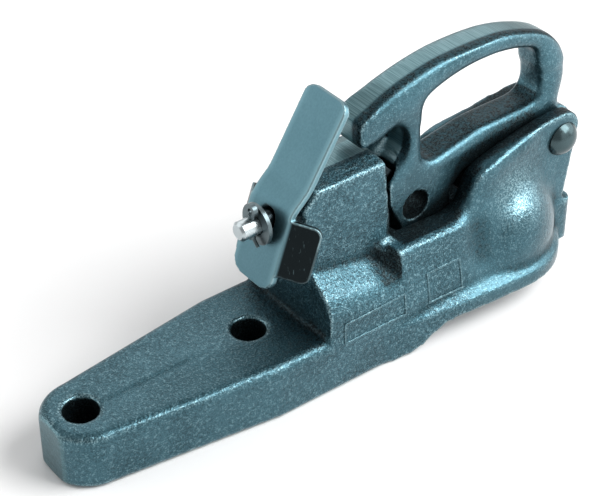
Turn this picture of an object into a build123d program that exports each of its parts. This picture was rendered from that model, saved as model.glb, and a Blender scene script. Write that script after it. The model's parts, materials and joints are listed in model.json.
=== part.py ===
from build123d import *
from math import cos, pi, radians, sin, sqrt, tan
import os

# Trailer coupling head for a 50 mm ball, in millimetres.
# X runs from the drawbar end to the nose, Z is up, the underside of the tongue is z = 0
# and x = 0 lies midway between the two drawbar bolt holes.

# Drawbar tongue
bolt_pitch = 77.0
bolt_hole_d = 14.0
tongue_t = 25.0
tip_centre_x = -36.0
tip_r = 18.0
tip_flat_x = -52.5
flank_x = 34.0
flank_half_w = 27.2
shoulder_x = 58.5
shoulder_half_w = 27.0
wall_half_w = 27.5
wall_start_x = 99.5
tongue_edge_r = 3.5
tongue_foot_r = 1.5

# Ball socket
ball_d = 50.0
ball_clear_r = 0.4
ball_x = 160.0
ball_z = 25.0
dome_r = 31.5
entry_shift = 5.0
skirt_bottom_z = 10.0
skirt_half_w = 34.4
skirt_start_x = 86.0
skirt_rim_h = 6.0
skirt_slope_h = 6.5
roof_z = 48.5
rim_half_w = 22.3
rim_edge_r = 3.0
draft_start_z = 24.0
lip_front_x = 198.5
lip_bottom_z = 8.0
lip_top_z = 29.0
housing_rear_x = 89.0
housing_slant = 6.5
ledge_half_w = 12.0
ledge_drop = 8.5

# Handle pivot and the cheeks that carry it
pivot_x = 189.5
pivot_z = 61.0
pin_d = 12.0
pin_running = 0.08
pin_head_d = 15.0
pin_head_h = 4.2
head_gap = 0.2
handle_half_t = 8.5
slot_half_w = 9.2
cheek_half_w = 16.0
cheek_root_half_w = 20.0
eye_r = 12.0
lobe_r = 82.0
jaw_room = 3.5
web_reach = 9.0
web_t = 2.0
handle_edge_r = 2.5
lock_hole_d = 13.0
lock_hole_inset = 8.3
lock_hole_z = 55.2

# Plunger block
block_half_w = 13.0
block_rear_x = 56.0
block_top_z = 88.4
block_edge_z = 85.9
block_flat_half_w = 6.0
plunger_z = 73.0
nose_d = 11.0
nose_short = 0.3
nose_len = 19.2
nose_bevel = 6.0
shank_d = 8.0
shank_end_x = 34.5
slide_running = 0.08
bore_floor_x = 66.0
block_gap = 8.5
seat_clear = 0.4

# Spring, washer and split pin on the plunger
spring_wire_d = 1.0
spring_mean_r = 4.75
spring_turns = 7
spring_end_gap = 0.25
washer_d = 17.0
washer_t = 1.6
washer_bore_d = 8.4
washer_gap = 0.4
split_hole_d = 3.0
split_d = 2.8
split_gap = 0.3

# Release plate
plate_t = 3.0
plate_half_w = 12.0
plate_lean = 19.0
joggle_lean = 47.0
tab_lean = 31.7
plate_rear_x = 48.6
plate_ref_z = 75.0
plate_bottom_u = -28.0
plate_knee_u = 5.3
joggle_len = 11.0
tab_len = 36.0
wing_bend = 42.0
wing_len = 13.5
wing_bottom_u = -20.0
wing_top_u = 3.5
bend_r = 14.0
plate_hole_h = 10.2
plate_hole_w = 8.8


# Places that follow from the sizes above: the washer bears on the leaning plate with its lower rim.
lean = radians(plate_lean)
washer_front_x = plate_rear_x + (plunger_z - washer_d / 2 - plate_ref_z) * tan(lean) - washer_gap
washer_rear_x = washer_front_x - washer_t
split_x = washer_rear_x - split_gap - split_d / 2
seat_half_w = nose_d / 2 + seat_clear

# Places that follow from the lobe of the handle: its pocket, web and lock hole, the block and the nose.
lobe_rear_x = pivot_x - lobe_r
pocket_r = lobe_r + jaw_room
web_r = lobe_r + web_reach
lock_hole_x = lobe_rear_x + lock_hole_inset
block_front_x = lobe_rear_x - block_gap
nose_tip_x = lobe_rear_x - nose_short
nose_rear_x = nose_tip_x - nose_len


def on_pivot_radius(radius, z):
    """Point of the side profile at this radius behind the pivot and at height z."""
    return (pivot_x - sqrt(radius**2 - (z - pivot_z) ** 2), z)


# Cheeks: the side profile of the ears, narrowed in plan towards the pivot.
with BuildPart() as cheeks:
    with BuildSketch(Plane.XZ):
        with BuildLine():
            rise = Spline((125, roof_z), (139, 64.5), tangents=((1, 0), (0.4, 1)))
            crest = Spline(rise @ 1, (184, 73), tangents=((0.9, 0.35), (1, 0.1)))
            lead = Line(crest @ 1, (190, 73))
            corner = ThreePointArc(lead @ 1, (196, 70.5), (198.4, 65))
            front = Line(corner @ 1, (192.5, 26))
            Polyline(front @ 1, (150, 20), (124, 30), rise @ 0)
        make_face()
    extrude(amount=40, both=True)
    with BuildSketch():
        Polygon(
            (110, -cheek_root_half_w), (148, -cheek_root_half_w), (178, -cheek_half_w), (205, -cheek_half_w),
            (205, cheek_half_w), (178, cheek_half_w), (148, cheek_root_half_w), (110, cheek_root_half_w),
            align=None,
        )
    extrude(amount=120, mode=Mode.INTERSECT)

# Block that holds the plunger: rear corner cut back for the release plate, crowned top.
with BuildPart() as block:
    with BuildSketch(Plane.XZ):
        Polygon(
            (shoulder_x, 15), (block_rear_x, 60), (block_rear_x, 79.5), (63.8, block_top_z),
            (block_front_x - 3.7, block_top_z), (block_front_x, 56), (block_front_x + 2, 40),
            (block_front_x + 2, 15), align=None,
        )
    extrude(amount=block_half_w, both=True)
    fillet(block.edges().filter_by(Axis.Y).sort_by(Axis.Z)[-3:], 2.0)
    with BuildSketch(Plane.YZ.offset(40)):
        for side in (-1, 1):
            Polygon(
                (side * block_flat_half_w, block_top_z), (side * block_half_w, block_edge_z),
                (side * (block_half_w + 5), block_edge_z - 1.8), (side * (block_half_w + 5), 100),
                (side * block_flat_half_w, 100), align=None,
            )
    extrude(amount=80, mode=Mode.SUBTRACT)

# Shoulders that spread the block out to the full width of the tongue, rounded towards the sides.
with BuildPart() as shoulders:
    for x, half_w, side_z in ((shoulder_x, shoulder_half_w, 36), (96, shoulder_half_w, 29)):
        with BuildSketch(Plane.YZ.offset(x)):
            Polygon((-half_w, 10), (half_w, 10), (half_w, side_z), (half_w - 3.2, side_z + 7),
                    (ledge_half_w, side_z + 7 + ledge_drop), (-ledge_half_w, side_z + 7 + ledge_drop),
                    (3.2 - half_w, side_z + 7), (-half_w, side_z), align=None)
    loft()

# Housing: walls with draft, a flat roof and a rear end that slants away from the block.
with BuildPart() as housing:
    with BuildSketch(Plane.YZ.offset(86)):
        Polygon((-wall_half_w, 12), (wall_half_w, 12), (wall_half_w, draft_start_z), (rim_half_w, roof_z),
                (-rim_half_w, roof_z), (-wall_half_w, draft_start_z), align=None)
    extrude(amount=64)
    fillet(housing.edges().filter_by(Axis.X).group_by(Axis.Z)[-1], rim_edge_r)
    with BuildSketch():
        for side in (-1, 1):
            Polygon((80, 0), (housing_rear_x, 0), (housing_rear_x, side * block_half_w),
                    (housing_rear_x + housing_slant, side * rim_half_w),
                    (housing_rear_x + housing_slant - 1, side * 40), (80, side * 40), align=None)
    extrude(amount=80, mode=Mode.SUBTRACT)

with BuildPart() as coupling_body:
    # Tapered tongue with a rounded tip, ground flat at the very end.
    with BuildSketch():
        with BuildLine():
            near = Polyline((140, -wall_half_w), (wall_start_x, -wall_half_w),
                            (flank_x, -flank_half_w), (tip_centre_x, -tip_r))
            tip = ThreePointArc(near @ 1, (tip_centre_x - tip_r, 0), (tip_centre_x, tip_r))
            far = Polyline(tip @ 1, (flank_x, flank_half_w),
                           (wall_start_x, wall_half_w), (140, wall_half_w))
            Line(far @ 1, near @ 0)
        make_face()
    extrude(amount=tongue_t)
    fillet(coupling_body.faces().sort_by(Axis.Z)[0].edges().sort_by(Axis.X)[:-1], tongue_foot_r)
    fillet(coupling_body.faces().sort_by(Axis.Z)[-1].edges().sort_by(Axis.X)[:-1], tongue_edge_r)
    with Locations((tip_flat_x, 0, 0)):
        Box(20, 60, 80, align=(Align.MAX, Align.CENTER, Align.CENTER), mode=Mode.SUBTRACT)
    add(housing.part)
    # Dome over the ball, with the skirt below it and a sloping ledge along the skirt.
    with Locations((ball_x, 0, ball_z)):
        Sphere(dome_r)
    with BuildSketch() as rim_outline:
        with BuildLine():
            flare_half_w = wall_half_w + 0.39 * (skirt_half_w - wall_half_w)
            flare = Spline((skirt_start_x, -wall_half_w), (107, -flare_half_w), (ball_x, -skirt_half_w),
                           tangents=((1, -0.1), (1, 0)))
            nose_round = ThreePointArc(flare @ 1, (ball_x + skirt_half_w, 0), (ball_x, skirt_half_w))
            back_flare = Spline(nose_round @ 1, (107, flare_half_w), (skirt_start_x, wall_half_w),
                                tangents=((-1, 0), (-1, -0.1)))
            Line(back_flare @ 1, flare @ 0)
        make_face()
    ledge_z = skirt_bottom_z + skirt_rim_h
    extrude(amount=ledge_z)
    extrude(rim_outline.sketch.moved(Location((0, 0, ledge_z))), amount=skirt_slope_h, taper=45)
    # Underside rises behind the socket.
    with BuildSketch(Plane.XZ):
        with BuildLine():
            sweep_up = Spline((95, 0), (121, skirt_bottom_z), tangents=((1, 0), (1, 0)))
            Polyline(sweep_up @ 1, (210, skirt_bottom_z), (210, -20), (95, -20), sweep_up @ 0)
        make_face()
    extrude(amount=50, both=True, mode=Mode.SUBTRACT)
    # Nose lip below the cheeks.
    with BuildSketch(Plane.XY.offset(lip_bottom_z)):
        with Locations((lip_front_x - 17.5, 0)):
            RectangleRounded(35, 34, 5)
    extrude(amount=lip_top_z - lip_bottom_z)
    add(shoulders.part)
    add(block.part)
    add(cheeks.part)
    # Ball cavity: the ball enters from below a little behind its seat, then sits under the nose lip.
    with Locations((ball_x, 0, ball_z), (ball_x - entry_shift, 0, ball_z)):
        Sphere(ball_d / 2 + ball_clear_r, mode=Mode.SUBTRACT)
    with Locations((ball_x - entry_shift, 0, ball_z)):
        Cylinder(ball_d / 2 + ball_clear_r, 40, align=(Align.CENTER, Align.CENTER, Align.MAX),
                 mode=Mode.SUBTRACT)
    # Pocket for the jaw, struck about the pivot, open to the socket and the underside.
    with BuildSketch(Plane.XZ):
        with BuildLine():
            back = ThreePointArc(on_pivot_radius(pocket_r, -2), on_pivot_radius(pocket_r, 25),
                                 on_pivot_radius(pocket_r, roof_z + 20))
            Polyline(back @ 1, (ball_x - 16.5, roof_z + 20), (ball_x - 16.5, ball_z), (ball_x, ball_z - 20),
                     (ball_x, -2), back @ 0)
        make_face()
    extrude(amount=slot_half_w, both=True, mode=Mode.SUBTRACT)
    # Slot between the cheeks with room for the eye of the handle.
    with BuildSketch(Plane.XZ):
        Polygon((140, 57.5), (172, 57.5), (176, 46), (215, 46), (215, 90), (140, 90), align=None)
    extrude(amount=slot_half_w, both=True, mode=Mode.SUBTRACT)
    # Drawbar bolt holes.
    with Locations((0, 0, 0)):
        with GridLocations(bolt_pitch, 0, 2, 1):
            Cylinder(bolt_hole_d / 2, 80, mode=Mode.SUBTRACT)
    # Pivot holes.
    with Locations(Location((pivot_x, 0, pivot_z), (90, 0, 0))):
        Cylinder(pin_d / 2 + pin_running / 2, 60, mode=Mode.SUBTRACT)
    # Stepped bore for the plunger and its spring.
    with Locations(Location((bore_floor_x, 0, plunger_z), (0, 90, 0))):
        Cylinder(nose_d / 2 + slide_running, 60, align=(Align.CENTER, Align.CENTER, Align.MIN),
                 mode=Mode.SUBTRACT)
        Cylinder(shank_d / 2 + slide_running, 60, mode=Mode.SUBTRACT)
coupling_body.part.label = "coupling_body"

# Handle: D grip, rear beak, catch for the plunger and the jaw that closes behind the ball.
with BuildPart() as handle:
    with BuildSketch(Plane.XZ):
        with BuildLine():
            beak = Line((lobe_rear_x - 20.5, 94.4), (lobe_rear_x - 21.3, 103.4))
            top = ThreePointArc(beak @ 1, (lobe_rear_x + 4.5, 113.2), (148, 117.1))
            bow = TangentArc(top @ 1, (181.5, 109.4), tangent=top % 1)
            brow = TangentArc(bow @ 1, (195.6, 80), tangent=bow % 1)
            post = Line(brow @ 1, brow @ 1 + (brow % 1) * 10)
            under = Polyline(post @ 1, (189.5, 55), (183, 52.5), (168, 62.5), (146, 62.5))
            throat = ThreePointArc(under @ 1, (137, 58.5), (134, 51.5))
            jaw_r = ball_d / 2 + ball_clear_r + 0.3
            jaw_top = (ball_x - sqrt(jaw_r**2 - 13**2), ball_z + 13)
            jaw_low = (ball_x - sqrt(jaw_r**2 - 9**2), ball_z - 9)
            Line(throat @ 1, jaw_top)
            jaw = ThreePointArc(jaw_top, (ball_x - jaw_r, ball_z), jaw_low)
            toe = Line(jaw @ 1, on_pivot_radius(lobe_r, 12.5))
            heel = ThreePointArc(toe @ 1, on_pivot_radius(lobe_r, 30), on_pivot_radius(lobe_r, roof_z))
            sill = Line(beak @ 0, (lobe_rear_x - 7, 96))
            notch = TangentArc(sill @ 1, (lobe_rear_x - 1.9, 76), tangent=sill % 1)
            Polyline(notch @ 1, (lobe_rear_x - 5.6, 69.5), (lobe_rear_x - 4.9, 60), heel @ 1)
        make_face()
        with Locations((pivot_x, pivot_z)):
            Circle(eye_r)
        with BuildLine():
            left = Line((lobe_rear_x + 12, 70.5), (lobe_rear_x + 10.8, 102))
            crown = ThreePointArc(left @ 1, (146, 109.4), (180, 103.5))
            Polyline(crown @ 1, (184.5, 77.6), (150, 77.2), left @ 0)
        make_face(mode=Mode.SUBTRACT)
    extrude(amount=handle_half_t, both=True)
    fillet(handle.edges().filter_by(Axis.Y).filter_by_position(Axis.X, lobe_rear_x + 9.5, 186)
           .filter_by_position(Axis.Z, 70, 105), 7.0)
    fillet(handle.edges().filter_by(Axis.Y).filter_by_position(Axis.X, lobe_rear_x - 27.5, lobe_rear_x - 17.5), 3.0)
    # Rounded edges of the grip and of the catch.
    for face_y in (-handle_half_t, handle_half_t):
        rims = handle.edges().filter_by_position(Axis.Y, face_y - 0.01, face_y + 0.01)
        floor_rims = rims.filter_by_position(Axis.Z, 70, 75)
        floor_rims = floor_rims.filter_by_position(Axis.X, lobe_rear_x + 9.5, 186)
        fillet(rims.filter_by_position(Axis.Z, 75, 120) + floor_rims, handle_edge_r)
    # Web that closes the catch on the far side.
    with BuildSketch(Plane.XZ.offset(-seat_half_w)):
        with BuildLine():
            edge = ThreePointArc(on_pivot_radius(web_r, 69.5), on_pivot_radius(web_r, 82),
                                 on_pivot_radius(web_r, 98))
            Polyline(edge @ 1, (lobe_rear_x + 6.5, 98), (lobe_rear_x + 6.5, 69.5), edge @ 0)
        make_face()
    extrude(amount=-web_t)
    # Lock hole through the lobe.
    with Locations(Location((lock_hole_x, 0, lock_hole_z), (90, 0, 0))):
        Cylinder(lock_hole_d / 2, 40, mode=Mode.SUBTRACT)
    # Seat for the plunger nose and the relief under its catch.
    with Locations(Location((nose_tip_x + seat_clear, 0, plunger_z), (0, -90, 0))):
        Cylinder(seat_half_w, 30, align=(Align.CENTER, Align.CENTER, Align.MIN),
                 mode=Mode.SUBTRACT)
    with BuildSketch(Plane.XZ):
        with BuildLine():
            relief = ThreePointArc(on_pivot_radius(lobe_r + 0.3, roof_z - 6),
                                   on_pivot_radius(lobe_r + 0.3, 54), on_pivot_radius(lobe_r + 0.3, 60))
            Polyline(relief @ 1, (lobe_rear_x - 11.5, 60), (lobe_rear_x - 11.5, roof_z - 6), relief @ 0)
        make_face()
    extrude(amount=seat_half_w, both=True, mode=Mode.SUBTRACT)
    with Locations(Location((pivot_x, 0, pivot_z), (90, 0, 0))):
        Cylinder(pin_d / 2 + pin_running, 40, mode=Mode.SUBTRACT)
handle.part.label = "handle"

# Pivot pin, headed at both ends like a rivet.
with BuildPart() as pivot_pin:
    with BuildSketch(Plane.XY):
        with BuildLine():
            half = cheek_half_w + head_gap
            dome_cap_r = ((pin_head_d / 2) ** 2 + pin_head_h**2) / (2 * pin_head_h)
            axis_line = Line((0, -half - pin_head_h), (0, half + pin_head_h))
            cap = RadiusArc(axis_line @ 1, (pin_head_d / 2, half), dome_cap_r)
            body_line = Polyline(cap @ 1, (pin_d / 2, half), (pin_d / 2, -half), (pin_head_d / 2, -half))
            RadiusArc(body_line @ 1, axis_line @ 0, dome_cap_r)
        make_face()
    revolve(axis=Axis.Y)
pivot_pin.part = pivot_pin.part.moved(Location((pivot_x, 0, pivot_z)))
pivot_pin.part.label = "pivot_pin"

# Plunger: turned bolt with a bevelled nose and a long shank drilled for the split pin.
with BuildPart() as latch_plunger:
    with BuildSketch(Plane.XY):
        Polygon(
            (shank_end_x, 0), (nose_tip_x, 0), (nose_tip_x, nose_d / 2 - 1.5),
            (nose_tip_x - 1.5, nose_d / 2), (nose_rear_x, nose_d / 2), (nose_rear_x, shank_d / 2),
            (shank_end_x + 1, shank_d / 2), (shank_end_x, shank_d / 2 - 1), align=None,
        )
    revolve(axis=Axis.X)
    with Locations((split_x, 0, 0)):
        Cylinder(split_hole_d / 2, 20, mode=Mode.SUBTRACT)
    # Bevel on top of the nose, which lets the handle snap shut.
    with BuildSketch(Plane.XZ):
        Polygon((nose_tip_x + 1, nose_d / 2 - nose_bevel - 1), (nose_tip_x + 1, nose_d / 2 + 1),
                (nose_tip_x - nose_bevel - 1, nose_d / 2 + 1), align=None)
    extrude(amount=nose_d, both=True, mode=Mode.SUBTRACT)
latch_plunger.part = latch_plunger.part.moved(Location((0, 0, plunger_z)))
latch_plunger.part.label = "latch_plunger"

# Compression spring round the shank, between the floor of the bore and the nose.
spring_start = bore_floor_x + spring_end_gap + spring_wire_d / 2
spring_span = nose_rear_x - bore_floor_x - 2 * spring_end_gap - spring_wire_d
spring_steps = 10


def coil_point(step):
    """Point of the coil after this many steps, the coil standing along Z."""
    angle = 2 * pi * step / spring_steps
    height = spring_span * step / (spring_turns * spring_steps)
    return (spring_mean_r * cos(angle), spring_mean_r * sin(angle), height)


with BuildPart() as latch_spring:
    with BuildLine():
        coil = Polyline(*[coil_point(step) for step in range(spring_turns * spring_steps + 1)])
    with BuildSketch(Plane(coil @ 0, z_dir=coil % 0)):
        RegularPolygon(spring_wire_d / 2, 6)
    sweep(transition=Transition.RIGHT)
latch_spring.part = latch_spring.part.moved(Location((spring_start, 0, plunger_z), (0, 90, 0)))
latch_spring.part.label = "latch_spring"

# Release plate: pressed strip with a joggle, a thumb tab above and two wings bent forward.
up = Vector(sin(lean), 0, cos(lean))
ahead = Vector(cos(lean), 0, -sin(lean))
plate_ref = Vector(plate_rear_x, 0, plate_ref_z)
hole_point = plate_ref + up * ((plunger_z - plate_ref_z) / cos(lean) + plate_t / 2 * tan(lean))


def leaning(angle, length):
    """Step along the plate's side profile, leaning forward by this angle."""
    return Vector(sin(radians(angle)), 0, cos(radians(angle))) * length


foot = plate_ref + up * plate_bottom_u
knee = plate_ref + up * plate_knee_u
shoulder = knee + leaning(joggle_lean, joggle_len)
tab_end = shoulder + leaning(tab_lean, tab_len)
with BuildPart() as release_plate:
    with BuildSketch(Plane.XZ):
        with BuildLine():
            side = FilletPolyline(*[(p.X, p.Z) for p in (foot, knee, shoulder, tab_end)], radius=bend_r)
            offset(side, amount=plate_t, side=Side.RIGHT)
        make_face()
    extrude(amount=plate_half_w, both=True)
    corners = release_plate.edges().filter_by(lambda e: abs(e.length - plate_t) < 0.01)
    fillet(corners.group_by(Axis.Z)[-1], 5.0)
    corners = release_plate.edges().filter_by(lambda e: abs(e.length - plate_t) < 0.01)
    fillet(corners.group_by(Axis.Z)[0], 6.0)
    for hand in (-1, 1):
        along = Vector(0, hand * cos(radians(wing_bend)), 0) + ahead * sin(radians(wing_bend))
        bend_point = plate_ref + Vector(0, hand * plate_half_w, 0)
        with BuildSketch(Plane(bend_point, x_dir=along, z_dir=along.cross(up))):
            with Locations((0, wing_bottom_u)):
                wing = Rectangle(wing_len, wing_top_u - wing_bottom_u, align=(Align.MIN, Align.MIN))
            fillet(wing.vertices().sort_by(Axis.X)[-2:], 3.5)
        extrude(amount=hand * plate_t)
    with BuildSketch(Plane(hole_point, x_dir=up, z_dir=ahead)):
        SlotOverall(plate_hole_h, plate_hole_w)
    extrude(amount=10, both=True, mode=Mode.SUBTRACT)
release_plate.part.label = "release_plate"

# Flat washer between the plate and the split pin.
with BuildPart(Plane((washer_rear_x, 0, plunger_z), z_dir=(1, 0, 0))) as plunger_washer:
    Cylinder(washer_d / 2, washer_t, align=(Align.CENTER, Align.CENTER, Align.MIN))
    Cylinder(washer_bore_d / 2, 10, mode=Mode.SUBTRACT)
plunger_washer.part.label = "plunger_washer"

# Split pin: eye above the shank, legs spread below it.
with BuildPart(Plane((split_x, 0, plunger_z))) as split_pin:
    Cylinder(split_d / 2, 11)
    with Locations(Location((0, 0, 7.2), (0, 90, 0))):
        Cylinder(2.9, 1.9)
        Cylinder(1.2, 5, mode=Mode.SUBTRACT)
    for hand in (-1, 1):
        with Locations(Location((0, hand * 0.5, -5), (180 + hand * 48, 0, 0))):
            Cylinder(split_d / 4, 4.2, align=(Align.CENTER, Align.CENTER, Align.MIN))
split_pin.part.label = "split_pin"

os.makedirs("parts", exist_ok=True)
export_step(coupling_body.part, "parts/coupling_body.step")
export_step(handle.part, "parts/handle.step")
export_step(pivot_pin.part, "parts/pivot_pin.step")
export_step(latch_plunger.part, "parts/latch_plunger.step")
export_step(latch_spring.part, "parts/latch_spring.step")
export_step(release_plate.part, "parts/release_plate.step")
export_step(plunger_washer.part, "parts/plunger_washer.step")
export_step(split_pin.part, "parts/split_pin.step")
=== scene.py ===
import json
import math

import bpy
import numpy as np
from mathutils import Matrix, Vector

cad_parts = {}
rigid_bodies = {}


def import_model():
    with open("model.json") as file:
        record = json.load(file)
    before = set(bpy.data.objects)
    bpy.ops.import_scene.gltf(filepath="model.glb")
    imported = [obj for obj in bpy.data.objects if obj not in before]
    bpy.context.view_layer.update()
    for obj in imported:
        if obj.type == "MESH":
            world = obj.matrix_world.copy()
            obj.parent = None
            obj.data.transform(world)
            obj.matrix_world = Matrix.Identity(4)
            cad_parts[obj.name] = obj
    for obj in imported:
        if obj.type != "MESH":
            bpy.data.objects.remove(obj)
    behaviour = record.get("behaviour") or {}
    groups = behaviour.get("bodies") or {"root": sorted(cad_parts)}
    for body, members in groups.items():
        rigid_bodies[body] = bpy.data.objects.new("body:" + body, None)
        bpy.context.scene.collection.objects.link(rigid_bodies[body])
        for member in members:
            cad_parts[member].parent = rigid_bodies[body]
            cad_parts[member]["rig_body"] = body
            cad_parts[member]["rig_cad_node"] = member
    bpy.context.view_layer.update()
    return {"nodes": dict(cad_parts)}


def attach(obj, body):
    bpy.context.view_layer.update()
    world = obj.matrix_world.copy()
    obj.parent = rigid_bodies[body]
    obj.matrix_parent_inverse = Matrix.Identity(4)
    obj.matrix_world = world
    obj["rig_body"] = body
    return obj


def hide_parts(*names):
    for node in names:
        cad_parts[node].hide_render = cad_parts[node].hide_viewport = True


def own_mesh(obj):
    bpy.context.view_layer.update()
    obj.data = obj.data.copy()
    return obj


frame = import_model()
bpy.context.scene.view_settings.view_transform = "Standard"


# Coupling body: one sand casting in iron with a thin satin coat, fettled by grinding along its parting line.
# Its mesh is the CAD solid rounded as a casting is: small radii on the corners, wider ones in the hollows.
# Two thin frames with nothing in them are cast on its near side. Places in the masks are in millimetres.
def copy_of(node, name):
    """A copy of a CAD node as one merged mesh of its own."""
    bpy.ops.object.select_all(action="DESELECT")
    source = frame["nodes"][node]
    bpy.context.view_layer.objects.active = source
    source.select_set(True)
    bpy.ops.object.duplicate()
    piece = bpy.context.view_layer.objects.active
    bpy.ops.object.parent_clear(type="CLEAR_KEEP_TRANSFORM")
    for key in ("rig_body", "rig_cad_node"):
        del piece[key]
    piece.name = name
    piece.data.name = name
    piece.data.materials.clear()
    bpy.ops.object.mode_set(mode="EDIT")
    bpy.ops.mesh.select_all(action="SELECT")
    bpy.ops.mesh.remove_doubles(threshold=2e-6)
    bpy.ops.object.mode_set(mode="OBJECT")
    return piece


def cast_copy(node, name, voxel):
    """A copy of a CAD node, remeshed evenly so that its edges can be rounded."""
    piece = copy_of(node, name)
    remesh = piece.modifiers.new("remesh", "REMESH")
    remesh.mode = "VOXEL"
    remesh.voxel_size = voxel
    bpy.ops.object.modifier_apply(modifier="remesh")
    return piece


def weigh(piece, weights):
    """A vertex group with a weight for each of the piece's points, in twenty steps."""
    group = piece.vertex_groups.new(name="weights")
    levels = np.round(np.clip(weights, 0, 1) * 20).astype(int)
    for level in range(1, 21):
        group.add(np.nonzero(levels == level)[0].tolist(), level / 20, "REPLACE")
    return group


def soften(piece, rounds, weights=None, axes="XYZ"):
    """Smooths a piece along these axes, all over or by a weight for each of its points."""
    bpy.context.view_layer.objects.active = piece
    smooth = piece.modifiers.new("soften", "SMOOTH")
    smooth.factor = 0.5
    smooth.iterations = rounds
    smooth.use_x, smooth.use_y, smooth.use_z = ("X" in axes, "Y" in axes, "Z" in axes)
    if weights is not None:
        smooth.vertex_group = weigh(piece, weights).name
    bpy.ops.object.modifier_apply(modifier="soften")
    piece.vertex_groups.clear()


def move(piece, distance, weights, direction="NORMAL"):
    """Moves a piece's points by up to this distance, by a weight for each of them."""
    bpy.context.view_layer.objects.active = piece
    shift = piece.modifiers.new("move", "DISPLACE")
    shift.direction = direction
    shift.mid_level = 0
    shift.strength = distance
    shift.vertex_group = weigh(piece, weights).name
    bpy.ops.object.modifier_apply(modifier="move")
    piece.vertex_groups.clear()


def points_of(piece):
    """Places and normals of a piece's points as arrays."""
    count = len(piece.data.vertices)
    places = np.empty(count * 3)
    normals = np.empty(count * 3)
    piece.data.vertices.foreach_get("co", places)
    piece.data.vertices.foreach_get("normal", normals)
    return places.reshape(-1, 3), normals.reshape(-1, 3)


def spread(piece, values, rounds):
    """Averages a value over each point's neighbours, again and again."""
    count = len(piece.data.vertices)
    ends = np.empty(len(piece.data.edges) * 2, int)
    piece.data.edges.foreach_get("vertices", ends)
    a, b = ends[0::2], ends[1::2]
    share = np.maximum(np.bincount(a, minlength=count) + np.bincount(b, minlength=count), 1)
    for turn in range(rounds):
        near = np.bincount(a, values[b], count) + np.bincount(b, values[a], count)
        values = (values + near / share) / 2
    return values


def hollowness(piece, size, rounds=4):
    """How hollow the surface is at each point: above 0 in an inner corner, below 0 on an edge."""
    places, normals = points_of(piece)
    mean = np.stack([spread(piece, places[:, axis], rounds) for axis in range(3)], 1)
    return np.einsum("ij,ij->i", mean - places, normals) / size


def ramp(values, low, high):
    """0 at low, 1 at high and straight between."""
    return np.clip((values - low) / (high - low), 0, 1)


def band(values, start, full, full_end, end):
    """1 from full to full_end, 0 before start and past end, and straight between."""
    return ramp(values, start, full) * ramp(values, end, full_end)


def patch(piece, values, rounds, gain):
    """Spreads a value over its neighbours and strengthens it, up to 1."""
    return np.clip(spread(piece, values, rounds) * gain, 0, 1)


def keep_value(piece, name, values):
    """Stores one number for each point, for the material to read."""
    attribute = piece.data.attributes.new(name, "FLOAT", "POINT")
    attribute.data.foreach_set("value", values.astype(np.float32))


body_voxel = 0.0009
ball_x, ball_z = 160, 25
pivot_x, pivot_z = 189.5, 61
plunger_z = 73
bolt_x = 38.5
bore_room = 0.0003
body = cast_copy("coupling_body", "body_casting", body_voxel)
soften(body, 4)
places, normals = points_of(body)
x, y, z = places.T * 1000
wide = np.abs(y)
bend = hollowness(body, body_voxel) * 6
hollow, ridge = np.clip(bend, 0, 1), np.clip(-bend, 0, 1)
cavity = np.sqrt((x - ball_x) ** 2 + y**2 + (z - ball_z) ** 2) < 28.5
bore = np.hypot(y, z - plunger_z) < 6.5
pin_hole = np.hypot(x - pivot_x, z - pivot_z) < 6.5
cast_side = np.where(x < 97, 1, ramp(wide, 9.7, 10.5)) * ~cavity * ~bore
soften(body, 19, patch(body, hollow * cast_side, 6, 4))
dome_side = cast_side * band(x, 112, 120, 178, 186) * ramp(z, 21, 26)
soften(body, 160, patch(body, hollow * dome_side, 48, 10))
dome_top = cast_side * band(x, 132, 140, 172, 180) * band(z, 40, 44, 56, 64)
soften(body, 240, patch(body, hollow * dome_top, 95, 14) * dome_top)
flank = cast_side * ramp(wide, 17, 19)
move(body, -0.0016, flank * np.exp(-(((x - 137) / 6.5) ** 2)) * band(z, 24, 32, 44, 54))
move(body, 0.0012, flank * np.exp(-(((x - ball_x) / 13) ** 2) - ((z - 40) / 11) ** 2))
cheek_crest = band(x, 110, 114, 150, 172) * ramp(z, 47, 52) * ramp(wide, 9.7, 12.5)
soften(body, 88, patch(body, ridge * cheek_crest, 32, 9))
shoulder = band(x, 58, 61, 94, 97) * ramp(wide, 15, 19) * band(z, 24, 27, 47, 50)
soften(body, 55, shoulder)
block_foot = band(x, 92, 95, 103, 106) * band(wide, 9.7, 10.5, 19, 20) * band(z, 44, 46, 53, 56)
soften(body, 32, block_foot)
move(body, -bore_room, bore | pin_hole)
tongue_step = ramp(y, -0.4, -1.3) * ramp(x, 20, 8) * ramp(z, 23.5, 24.5)
move(body, -0.00035, tongue_step, "Z")

places, normals = points_of(body)
x, y, z = places.T * 1000
wide = np.abs(y)
rearward, upward = -normals[:, 0], normals[:, 2]
bend = hollowness(body, body_voxel) * 5
deep = hollowness(body, body_voxel, 64)
slot = (x > 97.3) * ramp(wide, 16.5, 13.6) * ramp(z, 43, 46)
socket = ramp(np.sqrt((x - ball_x) ** 2 + y**2 + (z - ball_z) ** 2), 28, 27)
roof = ramp(upward, 0.6, 0.85) * band(x, 99, 102, 132, 140) * ramp(z, 44, 46) * ramp(wide, 20.5, 18.5)
rise = band(x, 126, 130, 142, 146) * ramp(z, 48, 50) * ramp(wide, 18, 15.5)
rear_wall = ramp(rearward, 0.3, 0.6) * band(x, 84, 87, 98, 100) * ramp(z, 30, 34) * ramp(wide, 13, 15)
wall_foot = band(x, 83, 89, 96, 97) * band(z, 33, 36, 49, 52) * band(wide, 12, 12.8, 23.5, 25.5)
tongue_top = ramp(upward, 0.6, 0.8) * band(z, 22, 24, 26, 28) * ramp(x, 62, 60)
tongue_root = tongue_top * np.maximum(ramp(x, 18, 56) * 0.6, ramp(x, -35, 45) * ramp(y, 2, -6) * 0.45)
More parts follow.
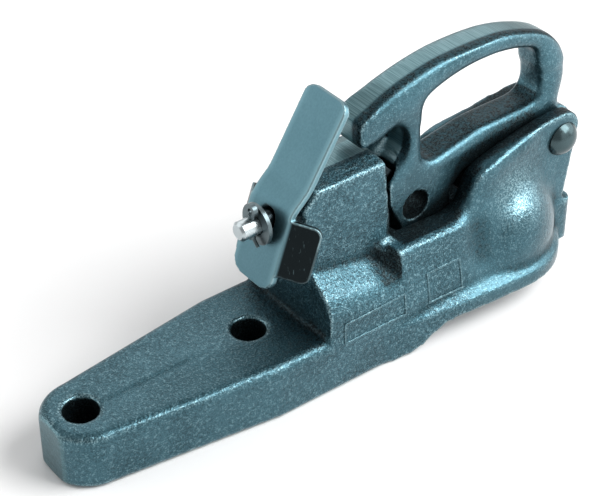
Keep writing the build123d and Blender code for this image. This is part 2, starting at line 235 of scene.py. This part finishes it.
valley = np.exp(-(((x - 138) / 7) ** 2)) * band(z, 23, 29, 44, 53) * ramp(wide, 18, 20)
bolt_holes = ramp(np.hypot(np.abs(x) - bolt_x, y), 7.8, 7.3) * ramp(z, 24.6, 23.4)
block_band = ramp(z, 85.8, 86.6) * ramp(y, -3.2, -4.2) * ramp(x, 98, 97)
# Painted shade: darker in hollows and wide inner corners, in the slot, the socket and the bolt holes, on the roof
# under the handle, in the pocket by the cheek, on the housing's rear wall and the wall's foot, in the valley beside
# the dome, and on the tongue's top by the block and along its near half. Along the near part of the block's top, the
# rougher skin is darker.
shade_and_dark_skin = np.maximum.reduce([
    patch(body, np.clip(bend, 0, 1), 8, 2), ramp(deep, 0.25, 1.6) * 0.9, spread(body, slot, 4), socket * 0.92,
    roof * 0.95, rise, rear_wall, wall_foot * 0.8, valley * 0.5, tongue_root, bolt_holes, block_band * 0.5,
])
# Painted highlights: a lighter patch on the dome's top and on the block's foot, which also lifts the painted shade
# there. Both go into the edge value together with the real wear on the edges.
foot_highlight = band(x, 93, 94.5, 99.5, 101) * band(wide, 11.5, 12.5, 15, 16) * band(z, 46, 47.5, 50.5, 51.5)
dome_highlight = ramp(np.sqrt((x - ball_x) ** 2 + (wide - 20) ** 2 + (z - 47) ** 2), 30, 4) * 0.95
rubbed_edge = patch(body, np.clip(-bend, 0, 1), 4, 1.5)
keep_value(body, "shade_and_skin", shade_and_dark_skin * (1 - foot_highlight))
keep_value(body, "edge", np.maximum.reduce([rubbed_edge, foot_highlight, dome_highlight]))
keep_value(body, "seat", np.zeros(len(x)))
slot_x = np.arange(100, 190, 3)
slot_top = np.array([z[(np.abs(x - place) < 2) & (wide > 10.3) & (wide < 13)].max() for place in slot_x])


def raised_frame(middle_x, middle_z, half_x, half_z):
    """A thin raised frame, with nothing in it, that follows the near side of the body."""
    bar_width, bar_depth, bar_out = 0.0007, 0.001, 0.35
    bpy.ops.mesh.primitive_plane_add(size=2, location=(middle_x, -0.05, middle_z), rotation=(math.pi / 2, 0, 0))
    bar = bpy.context.view_layer.objects.active
    bar.scale = (half_x, half_z, 1)
    bpy.ops.object.transform_apply(location=True, rotation=True, scale=True)
    bpy.ops.object.mode_set(mode="EDIT")
    bpy.ops.mesh.select_all(action="SELECT")
    bpy.ops.mesh.inset(thickness=bar_width)
    bpy.ops.mesh.delete(type="FACE")
    bpy.ops.mesh.select_all(action="SELECT")
    bpy.ops.mesh.subdivide(number_cuts=10)
    bpy.ops.object.mode_set(mode="OBJECT")
    wrap = bar.modifiers.new("wrap", "SHRINKWRAP")
    wrap.target = body
    wrap.wrap_method = "PROJECT"
    wrap.use_project_y = True
    bpy.ops.object.modifier_apply(modifier="wrap")
    wall = bar.modifiers.new("wall", "SOLIDIFY")
    wall.thickness = bar_depth
    wall.offset = 2 * bar_out - 1
    bpy.ops.object.modifier_apply(modifier="wall")
    for name, value in (("shade_and_skin", 0), ("edge", 0), ("seat", 0.17)):
        keep_value(bar, name, np.full(len(bar.data.vertices), value))
    return bar


frames = [raised_frame(0.0807, 0.026, 0.0157, 0.005), raised_frame(0.117, 0.0277, 0.009, 0.007)]
bpy.ops.object.select_all(action="DESELECT")
for piece in (*frames, body):
    piece.select_set(True)
bpy.context.view_layer.objects.active = body
bpy.ops.object.join()
bpy.ops.object.shade_smooth()


class Socket:
    """A shader socket that takes part in Python expressions."""

    def __init__(self, tree, out):
        self.tree = tree
        self.out = out

    def node(self, kind, settings, output=0, **inputs):
        """Adds a node with its settings, then its inputs by name or as i0, i1..., and gives one of its outputs."""
        made = self.tree.nodes.new(kind)
        for key, value in settings.items():
            setattr(made, key, value)
        for key, value in inputs.items():
            socket = made.inputs[int(key[1:]) if key[1:].isdigit() else key.replace("_", " ")]
            if isinstance(value, Socket):
                self.tree.links.new(value.out, socket)
            else:
                socket.default_value = value
        return Socket(self.tree, made.outputs[output])

    def math(self, operation, a, b=0.0):
        """A Math node on these two values."""
        return self.node("ShaderNodeMath", {"operation": operation}, i0=a, i1=b)

    def __add__(self, other):
        return self.math("ADD", self, other)

    __radd__ = __add__

    def __sub__(self, other):
        return self.math("SUBTRACT", self, other)

    def __rsub__(self, other):
        return self.math("SUBTRACT", other, self)

    def __mul__(self, other):
        return self.math("MULTIPLY", self, other)

    __rmul__ = __mul__

    def __abs__(self):
        return self.math("ABSOLUTE", self)

    def above(self, low, high):
        """0 below low, 1 above high, and smooth between."""
        return self.node("ShaderNodeMapRange", {"interpolation_type": "SMOOTHSTEP"},
                         Value=self, From_Min=low, From_Max=high)

    def below(self, low, high):
        """1 below low, 0 above high, and smooth between."""
        return 1 - self.above(low, high)

    def tint(self, dark, light):
        """Colour from dark to light by this value."""
        return self.over((*dark, 1), (*light, 1))

    def over(self, colour, other):
        """Mixes colour towards the other colour by this value."""
        return self.node("ShaderNodeMix", {"data_type": "RGBA"}, 2, i0=self, i6=colour, i7=other)

    def noise(self, scale, detail):
        """Noise at these coordinates."""
        return self.node("ShaderNodeTexNoise", {}, 0, Vector=self, Scale=scale, Detail=detail)

    def stretched(self, scale):
        """These coordinates with a scale for each axis."""
        return self.node("ShaderNodeMapping", {}, 0, Vector=self, Scale=scale)

    def own_value(self, name):
        """A number that the piece holds for each of its points."""
        return self.node("ShaderNodeAttribute", {"attribute_name": name}, "Fac")

    def bump(self, strength, distance):
        """A normal from this height."""
        return self.node("ShaderNodeBump", {}, 0, Strength=strength, Distance=distance, Height=self)


def new_finish(name):
    """An empty material with its shader, its Object coordinates and their parts."""
    finish = bpy.data.materials.new(name)
    finish.use_nodes = True
    tree = finish.node_tree
    where = Socket(tree, None).node("ShaderNodeTexCoord", {}, "Object")
    x, y, z = (where.node("ShaderNodeSeparateXYZ", {}, axis, Vector=where) for axis in "XYZ")
    return finish, tree, tree.nodes["Principled BSDF"], where, x, y, z


def join(tree, shader, **values):
    """Sets or links the shader's sockets."""
    for key, value in values.items():
        socket = shader.inputs[key.replace("_", " ")]
        if isinstance(value, Socket):
            tree.links.new(value.out, socket)
        else:
            socket.default_value = value


def cast_skin(name, ground, coarse):
    """Coated cast iron: pebbled skin with painted glints, painted shade in hollows and between parts, rubbed edges
    with painted highlights, and ground strips with fine lines.
    """
    finish, tree, shader, where, x, y, z = new_finish(name)
    pebble = where.noise(1750.0, 0.0).above(0.33, 0.67)
    swell = where.noise(650.0, 1.0).above(0.25, 0.75)
    cloud = where.noise(45.0, 4.0).above(0.25, 0.75)
    lines = where.stretched((2300.0, 40.0, 2300.0)).noise(1.0, 1.0).above(0.3, 0.7)
    shade_and_skin = where.own_value("shade_and_skin")
    edge = where.own_value("edge")
    # The frames and the ground seat in the handle's catch are bare metal, made lighter still as painted light.
    bare_and_lit = where.own_value("seat") * 6
    strip = ground(where, x, y, z)
    amount = coarse(where, x, y, z)
    tone = 0.5 + ((swell * 0.45 + pebble * 0.55) - 0.5) * amount
    skin = (cloud * 0.25 + tone * 0.75).tint((0.007, 0.029, 0.039), (0.083, 0.193, 0.238))
    # Painted glints: bright specks on the pebbled skin.
    painted_glint = pebble.above(0.7, 0.95) * swell.above(0.5, 0.8) * amount * 0.3
    # Rubbed edges are real wear. On the body this also carries the painted highlights on the dome and the block's
    # foot.
    wear_and_highlight = edge.above(0.4, 1.0) * (0.1 + pebble * 0.4) + bare_and_lit * 0.2
    colour = (painted_glint + wear_and_highlight).over(skin, pebble.tint((0.16, 0.29, 0.33), (0.32, 0.48, 0.52)))
    # Painted shade: the colour goes towards a dark tint by the stored shade value, which also holds some darker
    # skin.
    shade_and_skin_colour = (pebble * swell).tint((0.005, 0.009, 0.011), (0.036, 0.062, 0.07))
    colour = (shade_and_skin * (0.65 + swell * 0.7)).above(0.1, 0.9).over(colour, shade_and_skin_colour)
    colour = strip.over(colour, lines.tint((0.085, 0.17, 0.19), (0.16, 0.275, 0.3)))
    height = (pebble * 0.07 + swell * 0.16) * amount * (1 - strip * 0.85) + lines * strip * 0.03
    rough = 0.19 + amount * 0.16 + cloud * 0.08 + shade_and_skin * 0.15
    metal = 0.9 - (bare_and_lit * 0.15).above(0.3, 0.9) * 0.7
    join(tree, shader, Base_Color=colour, Roughness=rough, Metallic=metal, Normal=height.bump(0.8, 0.001),
         Coat_Weight=shade_and_skin.below(0.05, 0.5) * 0.13, Coat_Roughness=0.2, Coat_IOR=1.6)
    return finish


def body_ground(where, x, y, z):
    """Tip end and the far part of the block's top, where the casting was ground flush."""
    tip = x.below(-0.0522, -0.0514) * 0.5
    top = y.above(-0.0042, -0.0034) * z.above(0.0862, 0.0872) * x.below(0.0965, 0.0975)
    return tip + top


def body_coarse(where, x, y, z):
    """The sand left the block and the shoulders rougher than the dome and the tongue."""
    return 1.0 - x.above(0.112, 0.14) * 0.5 - x.below(0.045, 0.065) * 0.3


body.data.materials.append(cast_skin("coated_casting", body_ground, body_coarse))
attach(body, "casting")
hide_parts("coupling_body")


# Handle: a second casting in the same finish, with a D grip, a catch for the plunger and the jaw below.
# Its parting line was ground off round the outside of the grip, which leaves fine lines across it.
grip_voxel = 0.0007
half_thick = 0.0085
seat_room = 0.0004
catch_x, catch_z, catch_r = 106, 86, 13.5
lock_x, lock_z = 115.8, 55.2
grip = cast_copy("handle", "handle_casting", grip_voxel)
soften(grip, 4)
places, normals = points_of(grip)
x, y, z = places.T * 1000
bend = hollowness(grip, grip_voxel) * 6
hollow, ridge = np.clip(bend, 0, 1), np.clip(-bend, 0, 1)
soften(grip, 14, patch(grip, hollow, 6, 3) * ramp(z, 66, 70))
catch = np.exp(-(((x - catch_x) ** 2 + (z - catch_z) ** 2) / catch_r**2) ** 2)
whole = ramp(z, 70, 76) * (1 - catch) * ramp(x, 94, 104)
soften(grip, 350, whole, "Y")
across = points_of(grip)[0][:, 1]
shrunk = np.percentile(np.abs(across)[whole > 0.9], 98)
for side in (-1, 1):
    move(grip, side * (half_thick - shrunk), whole * ramp(across * side, 0, shrunk), "Y")
soften(grip, 60, patch(grip, ridge * whole, 40, 9) * whole)
soften(grip, 50, np.clip(catch * ramp(-y, 3.5, 5.5) * 1.4, 0, 1))
move(grip, 0.0006, whole * band(z, 90, 94, 116, 117.4))
move(grip, -seat_room, (np.hypot(y, z - plunger_z) < 6.6) * ramp(x, 113, 112))
move(grip, -0.0028, ramp(x, 106, 99) * band(z, 84, 88, 96, 101), "Z")

places, normals = points_of(grip)
x, y, z = places.T * 1000
sideways, upward = normals[:, 1], normals[:, 2]
bend = hollowness(grip, grip_voxel) * 5
deep = hollowness(grip, grip_voxel, 60)
outward = places - np.array((0.150, 0, 0.090))
outside = np.einsum("ij,ij->i", outward / np.linalg.norm(outward, axis=1)[:, None], normals)
outer = ramp(outside, 0.35, 0.55) * ramp(z, 74, 78)
pitted = outer * ramp(y, -2.2, -3.4) * ramp(np.abs(sideways), 0.8, 0.6)
floor_dark = ramp(upward, 0.3, 0.6) * ramp(outside, 0.1, -0.1) * ramp(np.abs(y), 7.5, 5.5) * ramp(x, 112, 116)
near_catch = np.hypot(x - catch_x, z - catch_z) < catch_r
in_catch = near_catch * ramp(sideways, -0.85, -0.65) * ramp(outside, 0.3, 0.1)
# Painted shadow along the handle where it goes down into the slot.
slot_shadow = ramp(z - np.interp(x, slot_x, slot_top), 8, 1) * band(x, 106, 118, 176, 186)
lock_hole = (np.hypot(x - lock_x, z - lock_z) < 7.1) * ramp(-y, 8.3, 7.8)
# The ground seat in the catch: bare metal, made lighter as painted light, and kept clear of the painted shade.
seat = band(y, -3.6, -3.0, 5.6, 6.0) * band(z, 74.8, 75.6, 82.0, 82.6) * band(x, 104, 105, 112.6, 113)
# Painted shade: darker in the handle's hollows and wide inner corners, on the floor of the grip's window, inside the
# catch and the lock hole, and along the slot. The pitted band beside the grip's ground strip is darker skin.
shade_and_dark_skin = np.maximum.reduce([
    patch(grip, np.clip(bend, 0, 1), 8, 2), ramp(deep, 0.25, 1.6) * 0.9, pitted * 0.62, floor_dark * 0.7,
    in_catch * 0.8, lock_hole, slot_shadow * 0.9,
])
keep_value(grip, "shade_and_skin", shade_and_dark_skin * (1 - seat))
keep_value(grip, "edge", patch(grip, np.clip(-bend, 0, 1), 4, 1.5))
keep_value(grip, "rim", outer * ramp(y, -3.4, -2.2) * ramp(np.abs(sideways), 0.5, 0.3))
keep_value(grip, "seat", seat)
bpy.ops.object.select_all(action="DESELECT")
grip.select_set(True)
bpy.ops.object.shade_smooth()


def grip_ground(where, x, y, z):
    """The outside of the grip, read from the piece's own value."""
    return where.own_value("rim")


def grip_coarse(where, x, y, z):
    """Hands have rubbed the handle smoother than the body."""
    return 0.5


grip.data.materials.append(cast_skin("coated_handle", grip_ground, grip_coarse))
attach(grip, "handle")
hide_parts("handle")


# Pivot pin: mild steel rivet with a domed head on each side, headed cold and left under the same coat.
# It is fixed in the cheeks, and the handle turns on it.
def steel_finish(name, dark, light, rough, grain, metal=0.85, shaded_from=1.0):
    """Smooth coated or plated steel with faint clouds and fine scratches, and painted shade beyond one x."""
    finish, tree, shader, where, x, y, z = new_finish(name)
    cloud = where.noise(70.0, 4.0)
    fine = where.noise(900.0, 2.0)
    drag = where.stretched(grain).noise(1.0, 2.0)
    clean = (cloud * 0.6 + drag * 0.3 + fine * 0.1).tint(dark, light)
    shank_shade = fine.tint((0.008, 0.012, 0.014), (0.03, 0.04, 0.045))
    colour = x.above(shaded_from, shaded_from + 0.001).over(clean, shank_shade)
    height = fine * 0.6 + drag * 0.4
    join(tree, shader, Base_Color=colour, Roughness=rough + cloud * 0.12 - drag * 0.06, Metallic=metal,
         Normal=height.bump(0.25, 0.0002))
    return finish


pin = frame["nodes"]["pivot_pin"]
pin.data.materials.clear()
pin.data.materials.append(steel_finish("headed_pin", (0.02, 0.036, 0.04), (0.085, 0.13, 0.14), 0.2, (300, 300, 300)))


# Plunger and spring: a turned bolt and a wound spring, both bright zinc plated, hidden in the block.
# Only the end of the shank shows, behind the release plate.
# Painted shade: the shank goes dark past x 44.5 mm, between the washer and the plate.
zinc = steel_finish("bright_zinc", (0.34, 0.4, 0.42), (0.62, 0.68, 0.7), 0.24, (900, 120, 120), 1.0, 0.0445)
bolt = frame["nodes"]["latch_plunger"]
bolt.data.materials.clear()
bolt.data.materials.append(zinc)
spring = copy_of("latch_spring", "plunger_spring")
bpy.ops.object.shade_smooth_by_angle(angle=math.radians(50))
spring.data.materials.append(zinc)
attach(spring, "casting")
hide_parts("latch_spring")
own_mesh(spring)


# Release plate: a 3 mm steel pressing with a thumb tab, a joggle and two wings bent forward.
# Its edges are rounded a little by tumbling, and it has the same coat as the castings.
plate_voxel = 0.00045
plate = cast_copy("release_plate", "plate_pressing", plate_voxel)
soften(plate, 5)
bend = hollowness(plate, plate_voxel) * 5
keep_value(plate, "edge", patch(plate, np.clip(-bend, 0, 1), 3, 1.5))
bpy.ops.object.select_all(action="DESELECT")
plate.select_set(True)
bpy.ops.object.shade_smooth()


def pressed_finish(name):
    """Smooth coated sheet steel with rubbed edges, a painted highlight along the wing bends, and wings painted
    near-black as shade, with scratches.
    """
    finish, tree, shader, where, x, y, z = new_finish(name)
    cloud = where.noise(45.0, 4.0)
    fine = where.noise(1100.0, 3.0)
    drag = where.stretched((1600.0, 1600.0, 18.0)).noise(1.0, 2.0)
    edge = where.own_value("edge")
    wing = abs(y).above(0.0122, 0.0132)
    wear_and_highlight = edge.above(0.35, 1.0) * 0.7 * (1 - wing * z.below(0.066, 0.07) * 0.7)
    colour = (cloud * 0.5 + fine * 0.4 + drag * 0.1).tint((0.05, 0.125, 0.155), (0.145, 0.28, 0.33))
    # Painted shade: the wings are near-black with light scratches.
    wing_shade_and_scratches = drag.above(0.64, 0.78).tint((0.009, 0.014, 0.016), (0.06, 0.095, 0.105))
    # Painted highlight: lighter along the bends down to the wings.
    colour = (abs(y).above(0.0085, 0.0115) * 0.5).over(colour, (0.2, 0.36, 0.41, 1))
    colour = wing.over(colour, wing_shade_and_scratches)
    colour = wear_and_highlight.over(colour, fine.tint((0.2, 0.33, 0.36), (0.32, 0.46, 0.5)))
    height = fine * 0.03 + drag * 0.01
    rough = 0.36 + cloud * 0.1 - wear_and_highlight * 0.06
    join(tree, shader, Base_Color=colour, Roughness=rough, Metallic=0.9, Normal=height.bump(0.4, 0.001))
    return finish


plate.data.materials.append(pressed_finish("coated_pressing"))
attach(plate, "trigger")
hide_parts("release_plate")


# Washer and split pin: stock steel hardware, blackened, that holds the plate on the shank.
# The washer lies loose between the plate and the pin. Both share one slot, the blackened steel.
black_steel = steel_finish("blackened_steel", (0.03, 0.045, 0.05), (0.2, 0.26, 0.28), 0.3, (300, 300, 300), 0.9)
for name in ("plunger_washer", "split_pin"):
    small = frame["nodes"][name]
    small.data.materials.clear()
    small.data.materials.append(black_steel)


# Setting: a pale paper floor under a plain surround, lit by five soft lamps as in a studio.
# The key lamp stands high on the near side, and weaker ones fill in from above, the side, the front and the rear.
def area_lamp(name, direction, distance, size, power):
    """A soft square lamp that looks at the middle of the object from this direction."""
    aim = Vector((0.08, 0, 0.045))
    bpy.ops.object.light_add(type="AREA", location=aim + Vector(direction).normalized() * distance)
    lamp = bpy.context.view_layer.objects.active
    lamp.name = name
    lamp.rotation_mode = "QUATERNION"
    lamp.rotation_quaternion = (-Vector(direction)).to_track_quat("-Z", "Y")
    lamp.data.size = size
    lamp.data.energy = power


area_lamp("key_lamp", (0.45, -0.52, 0.72), 1.2, 0.75, 15)
area_lamp("top_lamp", (0.49, 0.63, 0.6), 1.6, 1.4, 6.8)
area_lamp("side_lamp", (0.8, -0.36, 0.36), 1.2, 0.9, 7)
area_lamp("front_lamp", (0.25, -0.9, 0.3), 1.4, 1.2, 4.5)
area_lamp("rear_lamp", (-0.7, 0.6, 0.4), 1.5, 1.4, 7)

bpy.ops.mesh.primitive_plane_add(size=30, location=(0, 0, -0.0005))
floor = bpy.context.view_layer.objects.active
floor.name = "floor"
paper = bpy.data.materials.new("pale_paper")
paper.use_nodes = True
shader = paper.node_tree.nodes["Principled BSDF"]
shader.inputs["Base Color"].default_value = (0.86, 0.86, 0.86, 1)
shader.inputs["Roughness"].default_value = 0.9
floor.data.materials.append(paper)

world = bpy.data.worlds.new("studio")
bpy.context.scene.world = world
world.use_nodes = True
sky = world.node_tree.nodes["Background"]
sky.inputs[0].default_value = (1, 1, 1, 1)
sky.inputs[1].default_value = 0.4

bpy.ops.object.camera_add(location=(-0.2785, -0.444, 0.471))
camera = bpy.context.view_layer.objects.active
camera.name = "camera"
right = Vector((0.792, -0.611, 0))
up = Vector((0.3654, 0.4736, 0.8013))
camera.rotation_mode = "QUATERNION"
camera.rotation_quaternion = Matrix((right, up, right.cross(up))).transposed().to_quaternion()
camera.data.lens = 108
camera.data.sensor_width = 36
camera.data.clip_start = 0.01
bpy.context.scene.camera = camera
